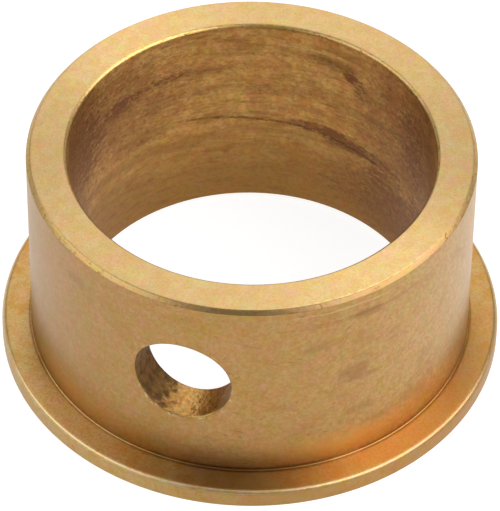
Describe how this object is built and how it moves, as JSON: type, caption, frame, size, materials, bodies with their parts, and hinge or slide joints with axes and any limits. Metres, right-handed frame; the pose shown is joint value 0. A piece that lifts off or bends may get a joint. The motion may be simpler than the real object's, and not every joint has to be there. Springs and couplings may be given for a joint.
{
  "type": "flanged sleeve bushing",
  "caption": "Short bronze sleeve bushing with a thin thrust flange at one end, a smooth through bore and a radial oil hole in the sleeve wall.",
  "frame": {"origin": "centre of the flange's outer face, on the bore axis", "axes": "+Z along the bore axis, from the flange towards the plain end of the sleeve; the oil hole opens towards -Y"},
  "size_m": [0.025, 0.025, 0.012],
  "materials": {
    "bronze": "fine turned, bare and slightly tarnished bearing bronze"
  },
  "bodies": {
    "root": {"flanged_bush": "bronze"}
  },
  "joints": []
}
